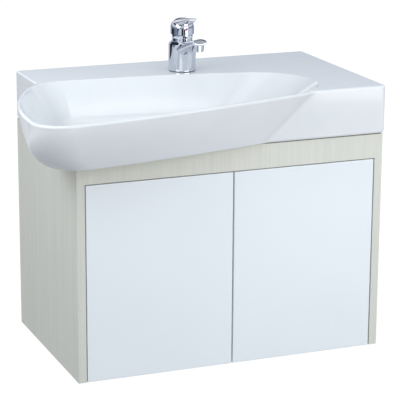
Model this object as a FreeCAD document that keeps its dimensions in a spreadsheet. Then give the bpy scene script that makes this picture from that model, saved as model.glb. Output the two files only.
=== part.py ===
import FreeCAD, Part
import math
import os
import re
import Sketcher
from FreeCAD import Placement, Rotation, Vector

# Wall-hung vanity unit: two-door cabinet, ceramic basin with a leaf-shaped bowl, mixer and trap.
# Millimetres. X to the right, Y towards the wall, Z up. The origin lies on the wall plane, midway
# between the two wall-bolt bores of the rear hanging rail.

# Driving dimensions: alias, value, meaning
SIZES = (
    # Cabinet
    ("cabinet_width", 630, "outside of the side panels"),
    ("cabinet_depth", 385, "front edges to wall"),
    ("cabinet_height", 436, "side panels"),
    ("board", 16, "thickness of carcass boards"),
    ("rail_height", 48, "top front rail"),
    ("floor_rise", 20, "finger room below the bottom panel"),
    ("hang_rail_height", 80, "rear rail that hangs on the wall"),
    ("lower_rail_height", 60, "rear rail above the bottom panel"),
    ("fixing_drop", 40, "wall-bolt line below the cabinet top"),
    ("fixing_spacing", 400, "between the wall bolts"),
    ("fixing_bore", 9, "diameter of the wall-bolt bores"),
    ("dowel_radius", 4, "carcass dowels"),
    ("dowel_depth", 10, "dowel in a side panel"),
    ("dowel_reach", 20, "dowel in a cross board"),
    ("dowel_margin", 14, "dowel axis from the cross board's edge"),
    ("rear_dowel", 42, "bottom panel's rear dowel from the wall"),
    ("wood_play", 0.05, "round a dowel or screw in its bore"),
    # Doors
    ("door_thickness", 16, "door panels"),
    ("door_gap", 2, "to the side panels and the rail"),
    ("meeting_gap", 3, "between the doors"),
    ("door_round", 1.2, "front edges of the doors"),
    ("stop_gap", 2, "door to the front edge of the bottom panel"),
    ("bumper_radius", 4, "soft stops"),
    ("bumper_height", 1.7, "soft stops"),
    ("bumper_inset", 60, "soft stops from the door edges"),
    # Cup hinges
    ("hinge_margin", 75, "hinge axis line from the door's top and bottom"),
    ("pivot_inset", 22, "hinge pin from the door's edge"),
    ("pivot_depth", 8.6, "hinge pin behind the door's front"),
    ("swing_relief", 4, "round the path of the door's edge, in the bottom panel"),
    ("cup_radius", 17, "outside of the hinge cup"),
    ("cup_wall", 0.9, "hinge cup"),
    ("cup_skin", 3.8, "door left in front of the cup bore"),
    ("cup_play", 0.1, "round the cup in its bore"),
    ("flange_thickness", 1.2, "hinge cup flange"),
    ("flange_length", 62, "hinge cup flange, upright"),
    ("flange_width", 15, "hinge cup flange"),
    ("flange_collar", 2.4, "flange round the cup's mouth"),
    ("cup_screw_spacing", 48, "upright"),
    ("pin_radius", 1.6, "hinge pin"),
    ("pin_play", 0.05, "hinge pin in the arm's eye"),
    ("pin_seat", 0.02, "hinge pin in the cup"),
    ("eye_wall", 1.7, "round the hinge pin"),
    ("arm_width", 14, "hinge arm, upright"),
    ("arm_thickness", 2.4, "hinge arm strip"),
    ("arm_bend", 4, "centre-line radius of the arm's bends"),
    ("arm_step", 20, "diagonal of the gooseneck, each way"),
    ("arm_crest", 29, "crest of the gooseneck behind the pin"),
    ("arm_shoulder", 12, "crest's start beside the pin"),
    ("plate_thickness", 4, "mounting plate"),
    ("plate_length", 44, "mounting plate, front to back"),
    ("plate_height", 46, "mounting plate, upright"),
    ("plate_start", 10, "mounting plate behind the crest"),
    ("plate_screw_spacing", 32, "upright"),
    ("screw_radius", 1.9, "hinge screws"),
    ("screw_head_radius", 3.6, "hinge screws"),
    ("screw_head", 1.8, "height of a hinge screw head"),
    ("screw_bite", 9, "hinge screw in wood"),
    # Ceramic basin
    ("seal_height", 2, "sealing bead"),
    ("seal_width", 6, "sealing bead"),
    ("seal_inset", 3, "bead behind the cabinet's faces"),
    ("basin_height", 95, "slab and bowl"),
    ("slab_front", 6.6, "slab in front of the cabinet"),
    ("slab_side", 2, "slab beside the cabinet"),
    ("slab_wall", 14, "slab walls"),
    ("deck", 14, "slab top"),
    ("slab_corner", 9, "upright corners of the slab"),
    ("rim_wall", 8, "top of the bowl's wall"),
    ("rim_round", 4, "top edge of the slab and the bowl"),
    ("lip_round", 2.2, "inner edge of the rim"),
    ("crease_round", 14, "where the bowl leaves the slab's faces"),
    ("bowl_left", 108.8, "bowl beside the cabinet"),
    ("bowl_front", 132.9, "bowl in front of the cabinet"),
    ("corner_round", 58, "rim, front left corner"),
    ("shoulder_inset", 51.8, "rim, back left corner centre from the cabinet's side"),
    ("shoulder_setback", 222.4, "rim, back left corner centre from the wall"),
    ("shoulder_round", 97.4, "rim, back left corner"),
    ("tip_offset", 91.5, "rim, right tip centre from the middle"),
    ("tip_setback", 290.6, "rim, right tip centre from the wall"),
    ("tip_round", 123.7, "rim, right tip"),
    ("front_bow", 3400, "rim, front edge radius"),
    ("left_bow", 544, "rim, left edge radius"),
    ("back_bow", 1725, "rim, back edge radius"),
    ("foot_left", 42.3, "bowl bottom inside the rim, left"),
    ("foot_front", 50, "bowl bottom inside the rim, front"),
    ("foot_corner", 64.1, "bowl bottom, front left corner"),
    ("foot_shoulder_inset", 60, "bowl bottom, back left corner centre from the cabinet's side"),
    ("foot_shoulder_setback", 228, "bowl bottom, back left corner centre from the wall"),
    ("foot_shoulder", 60, "bowl bottom, back left corner"),
    ("foot_tip_offset", 16.4, "bowl bottom, right end centre from the middle"),
    ("foot_tip_setback", 296.2, "bowl bottom, right end centre from the wall"),
    ("foot_tip", 105.1, "bowl bottom, right end"),
    ("foot_round", 6, "lower edge of the slab and the bowl"),
    ("left_fullness", 3.17, "bulge of the left wall, 1 for a straight one"),
    ("front_fullness", 1.82, "bulge of the front wall, 1 for a straight one"),
    ("floor_thickness", 12, "bowl floor"),
    ("floor_inset", 10, "bowl floor inside the bowl bottom"),
    ("floor_tip", 76, "bowl floor round the waste"),
    ("floor_round", 34, "between bowl wall and floor"),
    # Waste
    ("waste_setback", 287, "waste from the wall"),
    ("waste_radius", 20.9, "threaded waste tube"),
    ("waste_bore", 17.5, "inside of the waste tube"),
    ("waste_length", 62, "waste tube below the bowl floor"),
    ("waste_hole_play", 1.6, "round the tube in the ceramic"),
    ("flange_radius", 32, "waste flange"),
    ("flange_height", 2.6, "waste flange"),
    ("flange_chamfer", 1.3, "rim of the waste flange"),
    ("dish_radius", 29, "dished mouth of the waste flange"),
    ("recess_play", 0.8, "round the flange in the ceramic"),
    ("washer_height", 1.2, "under the waste flange"),
    ("gasket_height", 7, "below the ceramic"),
    ("gasket_radius", 29, "below the ceramic"),
    ("nut_height", 9, "waste back nut"),
    ("nut_radius", 30, "back nut across its corners"),
    ("thread_play", 0.05, "nuts and sleeves on tubes"),
    ("plug_radius", 24, "waste plug"),
    ("plug_edge", 2, "upright edge of the plug"),
    ("plug_brow", 17, "radius where the plug's crown flattens"),
    ("plug_brow_height", 3.8, "height where the plug's crown flattens"),
    ("plug_dome", 5, "crown of the plug"),
    ("plug_seal", 2, "height of the ring under the plug"),
    ("plug_seal_width", 4, "ring under the plug"),
    ("plug_seal_inset", 2, "ring inside the plug's edge"),
    ("plug_clear", 0.3, "ring above the dished flange"),
    ("stem_radius", 4, "plug stem"),
    ("stem_length", 40, "plug stem"),
    ("guide_drop", 20, "guide below the flange"),
    ("guide_height", 10, "hub of the guide"),
    ("guide_hub", 8, "hub of the guide"),
    ("guide_ring", 2, "wall of the guide's ring"),
    ("spoke_width", 2, "guide spokes"),
    ("spoke_height", 5, "guide spokes and ring"),
    # Bottle trap
    ("pipe_radius", 16, "trap pipes"),
    ("pipe_wall", 1.8, "trap pipes"),
    ("pipe_collar", 3, "collar on the inlet pipe"),
    ("union_height", 20, "inlet nut"),
    ("union_radius", 26, "inlet nut"),
    ("union_floor", 3, "inlet nut below the collar"),
    ("trap_radius", 31, "trap body and bottle"),
    ("trap_wall", 3, "trap body and bottle"),
    ("trap_drop", 80, "trap top below the waste tube"),
    ("trap_height", 52, "trap body"),
    ("trap_roof", 6, "top of the trap body"),
    ("bottle_height", 62, "trap bottle"),
    ("bottle_foot", 18.6, "flat foot of the bottle"),
    ("bottle_taper", 15.5, "tapered foot of the bottle"),
    ("bottle_seal", 2, "ring between body and bottle"),
    ("dip", 24, "inlet pipe in the bottle"),
    ("sleeve_length", 14, "trap sockets"),
    ("sleeve_wall", 3, "trap sockets"),
    ("trap_nut_height", 15, "trap nuts"),
    ("trap_nut_radius", 25, "trap nuts across their corners"),
    ("outlet_length", 26, "outlet socket from the trap's axis beyond its wall"),
    # Mixer
    ("tap_setback", 110, "mixer from the wall"),
    ("tap_hole", 17.5, "radius of the tap hole"),
    ("tap_radius", 27.6, "foot of the mixer"),
    ("tap_waist", 27.2, "mixer's body at its shoulder"),
    ("tap_height", 60, "mixer's body"),
    ("tap_round", 5, "sloping shoulder of the mixer's body"),
    ("tap_band", 3, "upright foot of the mixer's body"),
    ("tap_gasket", 1.5, "under the mixer"),
    ("spout_reach", 98, "spout tip from the axis"),
    ("spout_root", 39.4, "spout axis above the deck"),
    ("spout_rise", 33.4, "spout tip above its root"),
    ("spout_root_width", 40, "spout at the body"),
    ("spout_root_height", 27, "spout at the body"),
    ("spout_tip_width", 29, "spout at its tip"),
    ("spout_tip_height", 13, "spout at its tip"),
    ("spout_round", 2.5, "end of the spout"),
    ("outlet_inset", 13, "outlet behind the spout's tip"),
    ("outlet_radius", 12, "outlet collar of the spout"),
    ("outlet_drop", 18, "outlet collar below the spout's axis"),
    ("aerator_radius", 11, "aerator housing"),
    ("aerator_height", 5, "aerator housing"),
    ("aerator_wall", 1.6, "aerator housing"),
    ("aerator_seat", 3, "aerator housing in the outlet collar"),
    ("insert_height", 3, "aerator insert"),
    ("insert_recess", 1.5, "aerator insert above the housing's lower edge"),
    ("cartridge_radius", 17.5, "ceramic cartridge"),
    ("cartridge_height", 34, "ceramic cartridge"),
    ("ring_radius", 19.2, "cartridge nut"),
    ("ring_height", 11, "cartridge nut"),
    ("ring_bore", 12, "cartridge nut"),
    ("ring_seat", 5.5, "cartridge nut in the mixer's body"),
    ("dome_centre", 12.4, "lift axis above the body"),
    ("dome_radius", 21.2, "neck cover"),
    ("dome_wall", 1.8, "neck cover"),
    ("dome_below", 26, "neck cover's ball below its middle, degrees"),
    ("dome_above", 32, "neck cover's ball above its middle, degrees"),
    ("neck_radius", 20.4, "neck cover at the body"),
    ("neck_wall", 0.9, "neck cover at the body"),
    ("rotor_radius", 9, "cartridge rotor"),
    ("rotor_stem", 6, "rotor stem in the cartridge"),
    ("rotor_depth", 9, "rotor stem in the cartridge"),
    ("rotor_ear", 5, "rotor above the lift axis"),
    ("spindle_width", 8, "square lever spindle"),
    ("spindle_tail", 5, "spindle below the lift axis"),
    ("spindle_grip", 8, "spindle in the lever"),
    ("axis_pin", 1.5, "radius of the lift pin"),
    ("axis_pin_length", 16, "lift pin"),
    ("fork_play", 0.2, "beside the spindle in the rotor's fork"),
    ("fork_depth", 10, "fork below the lift axis"),
    ("hood_radius", 23.6, "lever hood"),
    ("hood_skirt", 2.6, "lever hood's lower edge above the lift axis"),
    ("hood_play", 0.7, "hood round the neck cover"),
    ("hood_ceiling", 18.5, "hood's inside above the lift axis"),
    ("hood_top", 15.6, "hood above its inside"),
    ("hood_round", 20, "top edge of the hood"),
    ("lever_reach", 57, "lever tip from the axis"),
    ("lever_root", 23, "lever's middle above the lift axis, at the hood"),
    ("lever_rise", 16, "lever tip above its root"),
    ("lever_root_width", 42, "lever at the hood"),
    ("lever_root_height", 19.5, "lever at the hood"),
    ("lever_tip_width", 18.5, "lever at its tip"),
    ("lever_tip_height", 5, "lever at its tip"),
    ("lever_round", 0.8, "end of the lever"),
    ("mark_radius", 3, "hot and cold mark"),
    ("mark_depth", 1.6, "hot and cold mark"),
    ("mark_height", 14, "mark above the lift axis"),
    ("grub_radius", 1.6, "lever screw"),
    ("grub_length", 9, "lever screw"),
    ("inlet_radius", 4.6, "hose threads in the mixer"),
    ("inlet_depth", 14, "hose threads in the mixer"),
    ("inlet_offset", 7.6, "hose threads from the middle"),
    ("inlet_setback", 5, "hose threads in front of the axis"),
    ("stud_radius", 4, "fixing stud"),
    ("stud_setback", 9, "fixing stud behind the axis"),
    ("stud_depth", 12, "fixing stud in the mixer"),
    ("stud_length", 58, "fixing stud below the deck's top"),
    ("shoe_radius", 25, "horseshoe"),
    ("shoe_slot", 26, "width of the horseshoe's slot"),
    ("shoe_gasket", 3, "horseshoe gasket"),
    ("shoe_plate", 2.5, "horseshoe plate"),
    ("stud_nut_radius", 7.4, "stud nut across its corners"),
    ("stud_nut_height", 8, "stud nut"),
)

doc = FreeCAD.newDocument("VanityUnit")
sheet = doc.addObject("Spreadsheet::Sheet", "Size")
for row, (alias, value, meaning) in enumerate(SIZES, start=1):
    sheet.set(f"A{row}", meaning)
    sheet.set(f"B{row}", str(value))
    sheet.setAlias(f"B{row}", alias)
doc.recompute()
ALIASES = {alias for alias, value, meaning in SIZES}

# Heights and places that many pieces share, as expressions
UNDERSIDE = "(fixing_drop - cabinet_height)"
TOP = "fixing_drop"
FRONT = "-cabinet_depth"
HALF = "(cabinet_width / 2)"
FLOOR = f"({UNDERSIDE} + floor_rise)"
SEAT = "(fixing_drop + seal_height)"
DECK = "(fixing_drop + seal_height + basin_height)"
BOWL_FLOOR = f"({SEAT} + floor_thickness)"
DOOR_TOP = "(fixing_drop - rail_height - door_gap)"
DOOR_HEIGHT = "(cabinet_height - rail_height - door_gap)"
DOOR_WIDTH = "((cabinet_width - meeting_gap) / 2 - board - door_gap)"


def bound(text):
    """Turns size names in an expression into cell references."""
    return re.sub(r"[a-z][a-z_]+", lambda m: f"Size.{m[0]}" if m[0] in ALIASES else m[0], text)


def val(text):
    """Value of an expression, for shapes that the script computes itself."""
    return float(sheet.evalExpression(bound(text)))


# Turns that bring a primitive's own axis (+Z) to the named direction
TURN = {
    "z": Rotation(),
    "-z": Rotation(Vector(1, 0, 0), 180),
    "x": Rotation(Vector(0, 1, 0), 90),
    "-x": Rotation(Vector(0, 1, 0), -90),
    "y": Rotation(Vector(1, 0, 0), -90),
    "-y": Rotation(Vector(1, 0, 0), 90),
}


def place(obj, at, turn=Rotation()):
    """Turns an object and ties its position to three expressions."""
    obj.Placement = Placement(Vector(), turn)
    for letter, text in zip("xyz", at):
        obj.setExpression(f"Placement.Base.{letter}", bound(text))
    return obj


def primitive(kind, at, turn=Rotation(), **sizes):
    obj = doc.addObject(f"Part::{kind}", kind)
    for name, text in sizes.items():
        obj.setExpression(name, bound(text))
    return place(obj, at, turn)


def box(at, size):
    """Box by its lowest corner and its size along X, Y and Z."""
    return primitive("Box", at, Length=size[0], Width=size[1], Height=size[2])


def rod(at, axis, radius, length):
    """Cylinder from the middle of its first end along a named axis."""
    return primitive("Cylinder", at, TURN[axis], Radius=radius, Height=length)


def hexagon(at, axis, radius, length):
    """Six-sided bar, its radius taken over the corners."""
    return primitive("Prism", at, TURN[axis], Circumradius=radius, Height=length)


def fuse(parts):
    obj = doc.addObject("Part::MultiFuse", "Fuse")
    obj.Shapes = parts
    obj.Refine = True
    return obj


def cut(base, tools):
    obj = doc.addObject("Part::Cut", "Cut")
    obj.Base = base
    obj.Tool = tools[0] if len(tools) == 1 else fuse(tools)
    obj.Refine = True
    return obj


def group(parts):
    obj = doc.addObject("Part::Compound", "Group")
    obj.Links = parts
    return obj


def outline(body, plane, points):
    """Closed sketch through corner points, each coordinate tied to an expression."""
    sketch = body.newObject("Sketcher::SketchObject", "Outline")
    origin = [f for f in body.Origin.OriginFeatures if f.Role == plane]
    sketch.AttachmentSupport = [(origin[0], "")]
    sketch.MapMode = "FlatFace"
    corners = [Vector(val(a), val(b)) for a, b in points]
    for start, end in zip(corners, corners[1:] + corners[:1]):
        sketch.addGeometry(Part.LineSegment(start, end))
    count = len(points)
    for edge in range(count):
        sketch.addConstraint(Sketcher.Constraint("Coincident", edge, 2, (edge + 1) % count, 1))
    for edge, pair in enumerate(points):
        for kind, axis, text in (("DistanceX", -2, pair[0]), ("DistanceY", -1, pair[1])):
            if text == "0":
                sketch.addConstraint(Sketcher.Constraint("PointOnObject", edge, 1, axis))
            else:
                made = Sketcher.Constraint(kind, -1, 1, edge, 1, val(text))
                index = sketch.addConstraint(made)
                sketch.setExpression(f"Constraints[{index}]", bound(text))
    return sketch


def turned(points, at, axis="z"):
    """Piece turned on a lathe: corner points are (radius, height along the axis)."""
    body = doc.addObject("PartDesign::Body", "Turned")
    sketch = outline(body, "XZ_Plane", points)
    feature = body.newObject("PartDesign::Revolution", "Revolution")
    feature.Profile = sketch
    feature.ReferenceAxis = (sketch, ["V_Axis"])
    feature.Angle = 360
    return place(body, at, TURN[axis])


def ring(at, axis, outer, inner, length):
    """Tube or washer from the middle of its first end."""
    points = ((inner, "0"), (outer, "0"), (outer, length), (inner, length))
    return turned(points, at, axis)


def padded(plane, points, length, at, reversed_pad=False):
    """Plate from a closed outline on one of the body's planes."""
    body = doc.addObject("PartDesign::Body", "Plate")
    sketch = outline(body, plane, points)
    pad = body.newObject("PartDesign::Pad", "Pad")
    pad.Profile = sketch
    pad.setExpression("Length", bound(length))
    pad.Reversed = reversed_pad
    return place(body, at)


def rounded(body, radius, wanted):
    """Fillet on the body's edges that the test picks."""
    doc.recompute()
    base = body.Tip
    names = [f"Edge{n}" for n, edge in enumerate(base.Shape.Edges, start=1) if wanted(edge)]
    fillet = body.newObject("PartDesign::Fillet", "Fillet")
    fillet.Base = (base, names)
    fillet.setExpression("Radius", bound(radius))
    return body


def end_rounded(solid, radius, wanted):
    """Fillet on a boolean's or loft's edges that the test picks."""
    doc.recompute()
    obj = doc.addObject("Part::Fillet", "Fillet")
    obj.Base = solid
    size = val(radius)
    obj.Edges = [(n, size, size) for n, edge in enumerate(solid.Shape.Edges, start=1) if wanted(edge)]
    return obj


# Named sub-parts, in the order in which they are written
NODES = {}


def node(name, obj):
    obj.Label = name
    NODES[name] = obj
    return obj


# Cabinet boards. Cross boards stand between the side panels on dowels.
INSIDE = f"(-{HALF} + board)"
INSIDE_WIDTH = "(cabinet_width - 2 * board)"
FLOOR_FRONT = f"({FRONT} + door_thickness + stop_gap)"
PIVOT_Y = f"({FRONT} + pivot_depth)"
BEHIND_PIVOT = "(door_thickness - pivot_depth)"
NOTCH_BACK = f"({PIVOT_Y} + sqrt(pivot_inset^2 + {BEHIND_PIVOT}^2) + swing_relief)"
NOTCH_WIDTH = f"(door_gap + pivot_inset + {BEHIND_PIVOT} + swing_relief)"

CROSS_BOARDS = {
    "bottom_panel": (FLOOR_FRONT, FLOOR, f"(-{FLOOR_FRONT})", "board"),
    "top_front_rail": (FRONT, f"({TOP} - rail_height)", "board", "rail_height"),
    "rear_hanging_rail": ("(-board)", f"({TOP} - hang_rail_height)", "board", "hang_rail_height"),
    "rear_lower_rail": ("(-board)", f"({FLOOR} + board)", "board", "lower_rail_height"),
}


def dowel_places(front, bottom, depth, height):
    """Two dowel axes (y, z) at each end of a cross board, along its longer section side."""
    if depth == "board":
        middle = f"{front} + board / 2"
        return [(middle, f"{bottom} + dowel_margin"), (middle, f"{bottom} + {height} - dowel_margin")]
    middle = f"{bottom} + board / 2"
    return [(f"{NOTCH_BACK} + dowel_margin", middle), ("-rear_dowel", middle)]


def make_dowels():
    """Dowels, with the bores they need in the side panels and the cross boards."""
    dowels = []
    panel_bores = {"left": [], "right": []}
    board_bores = {}
    radius = "dowel_radius + wood_play"
    for name, section in CROSS_BOARDS.items():
        board_bores[name] = []
        for y, z in dowel_places(*section):
            for side, sign, axis in (("left", "-", "x"), ("right", "", "-x")):
                face = f"{sign}({HALF} - board)"
                outward = "-dowel_depth" if side == "left" else "+ dowel_depth"
                start = f"{face} {outward}"
                dowels.append(rod((start, y, z), axis, "dowel_radius", "dowel_depth + dowel_reach"))
                panel_bores[side].append(rod((start, y, z), axis, radius, "dowel_depth"))
                board_bores[name].append(rod((face, y, z), axis, radius, "dowel_reach"))
    return dowels, panel_bores, board_bores


dowels, panel_bores, board_bores = make_dowels()
for sign in ("-", ""):
    bolt = rod((f"{sign}fixing_spacing / 2", "-board", "0"), "y", "fixing_bore / 2", "board")
    board_bores["rear_hanging_rail"].append(bolt)
# The doors' hinge edges swing in through notches at the bottom panel's front corners.
for x in (INSIDE, f"{HALF} - board - {NOTCH_WIDTH}"):
    notch = box((x, FLOOR_FRONT, FLOOR), (NOTCH_WIDTH, f"{NOTCH_BACK} - {FLOOR_FRONT}", "board"))
    board_bores["bottom_panel"].append(notch)

# Hinges: a cup in the door holds the pin, and a gooseneck arm on the side panel turns on it.
HINGE_HEIGHTS = (f"({UNDERSIDE} + hinge_margin)", f"({DOOR_TOP} - hinge_margin)")
EYE = "(pin_radius + pin_play + eye_wall)"
CUP_BORE = "(cup_radius - cup_wall)"
PLATE_FRONT = f"({PIVOT_Y} + arm_crest + plate_start)"
DOOR_BACK = f"({FRONT} + door_thickness)"


def strip(points, thickness, bend):
    """Outline of a bent strip of even thickness that follows a centre line, bends rounded."""
    sides = {1: [], -1: []}
    for side in (1, -1):
        place_now = None
        for number, here in enumerate(points):
            before = (here - points[number - 1]).normalize() if number else None
            last = number == len(points) - 1
            after = None if last else (points[number + 1] - here).normalize()
            if before is None or after is None:
                along = after or before
                across = Vector(-along.y, along.x) * (side * thickness / 2)
                nxt = here + across
                if place_now is not None:
                    sides[side].append(Part.LineSegment(place_now, nxt))
                place_now = nxt
                continue
            turn = before.getAngle(after)
            hand = 1 if before.x * after.y - before.y * after.x > 0 else -1
            setback = bend * math.tan(turn / 2)
            first = here - before * setback
            second = here + after * setback
            centre = first + Vector(-before.y, before.x) * (hand * bend)
            radius = bend - hand * side * thickness / 2
            towards = (here - centre).normalize()
            start = centre + (first - centre).normalize() * radius
            end = centre + (second - centre).normalize() * radius
            sides[side].append(Part.LineSegment(place_now, start))
            sides[side].append(Part.Arc(start, centre + towards * radius, end))
            place_now = end
    edges = [curve.toShape() for side in (1, -1) for curve in sides[side]]
    for end in (0, -1):
        tips = [sides[side][end] for side in (1, -1)]
        corners = [tip.StartPoint if end == 0 else tip.EndPoint for tip in tips]
        edges.append(Part.LineSegment(*corners).toShape())
    return Part.Wire(Part.__sortEdges__(edges))


def arm_blank(mirror):
    """Gooseneck strip round the path of the door's edge; its pin lies at the blank's origin."""
    rest = val("plate_thickness + arm_thickness / 2 - door_gap - pivot_inset")
    step = val("arm_step")
    crest = val("arm_crest")
    tail = val("arm_crest + plate_start + plate_length")
    path = ((0, 0), (step, step), (val("arm_shoulder"), crest), (rest, crest), (rest, tail))
    points = [Vector(mirror * x, y) for x, y in path]
    wire = strip(points, val("arm_thickness"), val("arm_bend"))
    return Part.Face(wire).extrude(Vector(0, 0, val("arm_width")))


def make_hinges(side):
    """Both hinges of one door, with the bores that they need in door and panel."""
    sign, inward, outward = ("-", "+", "-x") if side == "left" else ("", "-", "x")
    mirror = 1 if side == "left" else -1
    wall = f"{sign}({HALF} - board)"
    pivot_x = f"({wall} {inward} (door_gap + pivot_inset))"
    made = {name: [] for name in ("cups", "pins", "cup_screws", "arms", "plates", "plate_screws")}
    door_bores = []
    for z in HINGE_HEIGHTS:
        # Cup with its flange, open to the back of the door
        shell = turned((("0", "cup_skin"), ("cup_radius", "cup_skin"), ("cup_radius", "door_thickness"),
                        (CUP_BORE, "door_thickness"), (CUP_BORE, "cup_skin + cup_wall"),
                        ("0", "cup_skin + cup_wall")), (pivot_x, FRONT, z), "y")
        wing = box((f"{pivot_x} - flange_width / 2", DOOR_BACK, f"{z} - flange_length / 2"),
                   ("flange_width", "flange_thickness", "flange_length"))
        collar = rod((pivot_x, DOOR_BACK, z), "y", "cup_radius + flange_collar", "flange_thickness")
        mouth = rod((pivot_x, DOOR_BACK, z), "y", CUP_BORE, "flange_thickness")
        pin_foot = (pivot_x, PIVOT_Y, f"{z} - cup_radius")
        pin_hole = rod(pin_foot, "z", "pin_radius + pin_seat", "2 * cup_radius")
        holes = []
        for up in ("-", "+"):
            height = f"{z} {up} cup_screw_spacing / 2"
            back = f"{DOOR_BACK} + flange_thickness"
            head = rod((pivot_x, back, height), "y", "screw_head_radius", "screw_head")
            shank = rod((pivot_x, f"{DOOR_BACK} - screw_bite", height), "y", "screw_radius",
                        "screw_bite + flange_thickness")
            made["cup_screws"].append(fuse([head, shank]))
            holes.append(rod((pivot_x, DOOR_BACK, height), "y", "screw_radius + wood_play",
                             "flange_thickness"))
            door_bores.append(rod((pivot_x, f"{DOOR_BACK} - screw_bite", height), "y",
                                  "screw_radius + wood_play", "screw_bite"))
        made["cups"].append(cut(fuse([shell, wing, collar]), [mouth, pin_hole] + holes))
        made["pins"].append(rod(pin_foot, "z", "pin_radius", "2 * cup_radius"))
        door_bores.append(rod((pivot_x, f"{FRONT} + cup_skin - cup_play", z), "y",
                              "cup_radius + cup_play", "door_thickness"))
        # Arm on the side panel, with its eye round the pin
        blank = doc.addObject("Part::Feature", "ArmStrip")
        blank.Shape = arm_blank(mirror)
        foot = f"{z} - arm_width / 2"
        place(blank, (pivot_x, PIVOT_Y, foot))
        eye = rod((pivot_x, PIVOT_Y, foot), "z", EYE, "arm_width")
        bore = rod((pivot_x, PIVOT_Y, foot), "z", "pin_radius + pin_play", "arm_width")
        middle = f"{PLATE_FRONT} + plate_length / 2"
        plate_x = wall if side == "left" else f"{wall} - plate_thickness"
        plate = box((plate_x, PLATE_FRONT, f"{z} - plate_height / 2"),
                    ("plate_thickness", "plate_length", "plate_height"))
        arm_face = f"{wall} {inward} (plate_thickness + arm_thickness)"
        lock_hole = rod((arm_face, middle, z), outward, "screw_radius + wood_play",
                        "arm_thickness + plate_thickness")
        made["arms"].append(cut(fuse([blank, eye]), [bore, lock_hole]))
        lock = [rod((arm_face, middle, z), outward, "screw_radius", "arm_thickness + plate_thickness"),
                rod((f"{arm_face} {inward} screw_head", middle, z), outward, "screw_head_radius",
                    "screw_head")]
        made["plate_screws"].append(fuse(lock))
        plate_holes = [lock_hole]
        for up in ("-", "+"):
            height = f"{z} {up} plate_screw_spacing / 2"
            face = f"{wall} {inward} plate_thickness"
            shank = rod((face, middle, height), outward, "screw_radius", "plate_thickness + screw_bite")
            head = rod((f"{face} {inward} screw_head", middle, height), outward, "screw_head_radius",
                       "screw_head")
            made["plate_screws"].append(fuse([head, shank]))
            plate_holes.append(rod((face, middle, height), outward, "screw_radius + wood_play",
                                   "plate_thickness"))
            panel_bores[side].append(rod((wall, middle, height), outward, "screw_radius + wood_play",
                                         "screw_bite"))
        made["plates"].append(cut(plate, plate_holes))
    return made, door_bores


def on_front(edge):
    """Edges of a door's front face."""
    return all(abs(point.y) < 1e-6 for point in edge.discretize(3))


def make_door(side, bores):
    x = f"-{HALF} + board + door_gap" if side == "left" else "meeting_gap / 2"
    corners = (("0", "0"), (DOOR_WIDTH, "0"), (DOOR_WIDTH, DOOR_HEIGHT), ("0", DOOR_HEIGHT))
    panel = padded("XZ_Plane", corners, "door_thickness", (x, FRONT, UNDERSIDE), reversed_pad=True)
    rounded(panel, "door_round", on_front)
    return node(f"{side}_door", cut(panel, bores))


hinges = {side: make_hinges(side) for side in ("left", "right")}
for side, x in (("left", f"-{HALF}"), ("right", f"{HALF} - board")):
    panel = box((x, FRONT, UNDERSIDE), ("board", "cabinet_depth", "cabinet_height"))
    node(f"{side}_side_panel", cut(panel, panel_bores[side]))
for name, (front, bottom, depth, height) in CROSS_BOARDS.items():
    blank = box((INSIDE, front, bottom), (INSIDE_WIDTH, depth, height))
    node(name, cut(blank, board_bores[name]))
node("carcass_dowels", group(dowels))

for side, (made, bores) in hinges.items():
    make_door(side, bores)
    for name, parts in made.items():
        node(f"{side}_hinge_{name}", group(parts))

bumpers = []
for near in (f"-{HALF} + board + bumper_inset", "-bumper_inset", "bumper_inset",
             f"{HALF} - board - bumper_inset"):
    bumpers.append(rod((near, FLOOR_FRONT, f"{FLOOR} + board / 2"), "-y", "bumper_radius", "bumper_height"))
node("door_bumpers", group(bumpers))

# Sealing bead on the upper edges of the carcass
bead = box((f"-{HALF} + seal_inset", f"{FRONT} + seal_inset", TOP),
           ("cabinet_width - 2 * seal_inset", "cabinet_depth - 2 * seal_inset", "seal_height"))
INNER_BEAD = "(seal_inset + seal_width)"
bead_inside = box((f"-{HALF} + {INNER_BEAD}", f"{FRONT} + {INNER_BEAD}", TOP),
                  (f"cabinet_width - 2 * {INNER_BEAD}", f"cabinet_depth - 2 * {INNER_BEAD}",
                   "seal_height"))
node("basin_seal", cut(bead, [bead_inside]))


# Basin. Every level of the bowl is an outline round three circles, joined by three long arcs that
# touch them: front left corner, right tip and back left shoulder, counter-clockwise.
BOWS = [val("front_bow"), val("back_bow"), val("left_bow")]


def long_arc_centre(first, second, bow):
    """Centre of the arc that lies outside two circles and touches both."""
    near = bow - first[2]
    far = bow - second[2]
    start = Vector(first[0], first[1])
    between = Vector(second[0], second[1]) - start
    gap = between.Length
    along = between.normalize()
    reach = (near**2 - far**2 + gap**2) / (2 * gap)
    offset = math.sqrt(near**2 - reach**2)
    return start + along * reach + Vector(-along.y, along.x) * offset


def arc(centre, radius, start, end):
    """Arc from one angle to a larger one."""
    span = (end - start) % (2 * math.pi)
    ends = [centre + Vector(math.cos(a), math.sin(a)) * radius for a in
            (start, start + span / 2, start + span)]
    return Part.Arc(*ends).toShape()


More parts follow.
